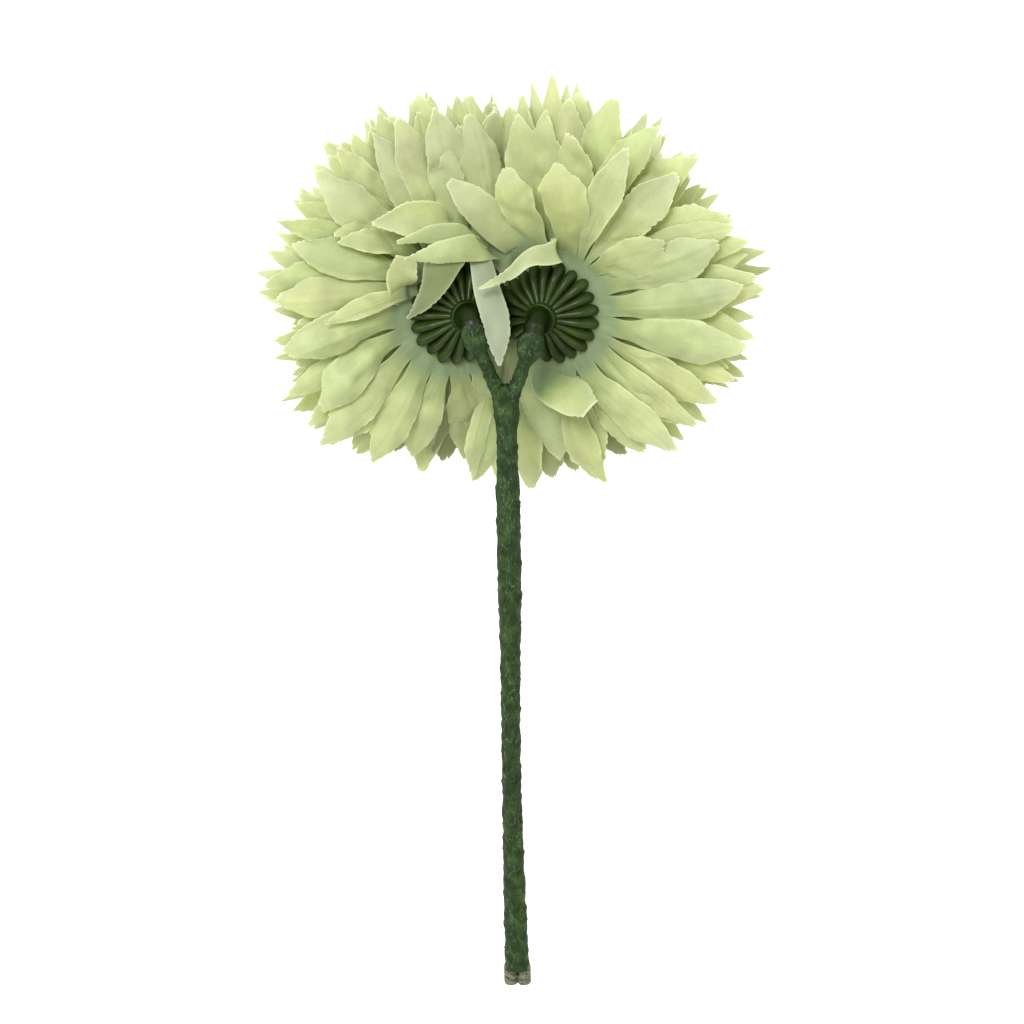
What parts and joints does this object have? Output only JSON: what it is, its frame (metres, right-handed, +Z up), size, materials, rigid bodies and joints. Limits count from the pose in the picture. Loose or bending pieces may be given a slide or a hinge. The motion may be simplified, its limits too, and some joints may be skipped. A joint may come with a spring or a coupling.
{
  "type": "pompon chrysanthemum",
  "caption": "Artificial pompon chrysanthemum spray: fabric petal heads on ribbed calyxes, on one taped stem, lying on its faces.",
  "frame": {"origin": "under the middle of the object's box, on the surface that it lies on", "axes": "+Z up, away from the surface; +Y from the cut end of the stem towards the heads; +X across the two heads"},
  "size_m": [0.1586, 0.2866, 0.0864],
  "materials": {
    "petals": "satin polyester, dyed pale yellow-green and paler blue-green towards the middle of each sheet",
    "calyx": "glossy moulded polyethylene",
    "tape": "waxed crepe floral tape, matt and wrinkled",
    "wire": "plastic-coated stem wire, cut end"
  },
  "bodies": {
    "root": {"left_calyx": "calyx", "left_petal_sheet_1": "petals", "left_petal_sheet_2": "petals", "left_petal_sheet_3": "petals", "left_petal_sheet_4": "petals", "left_petal_sheet_5": "petals", "left_petal_sheet_6": "petals", "left_petal_sheet_7": "petals", "left_petal_sheet_8": "petals", "left_petal_sheet_9": "petals", "left_wire": "wire", "right_calyx": "calyx", "right_petal_sheet_1": "petals", "right_petal_sheet_2": "petals", "right_petal_sheet_3": "petals", "right_petal_sheet_4": "petals", "right_petal_sheet_5": "petals", "right_petal_sheet_6": "petals", "right_petal_sheet_7": "petals", "right_petal_sheet_8": "petals", "right_petal_sheet_9": "petals", "right_wire": "wire", "stem_tape": "tape"}
  },
  "joints": []
}
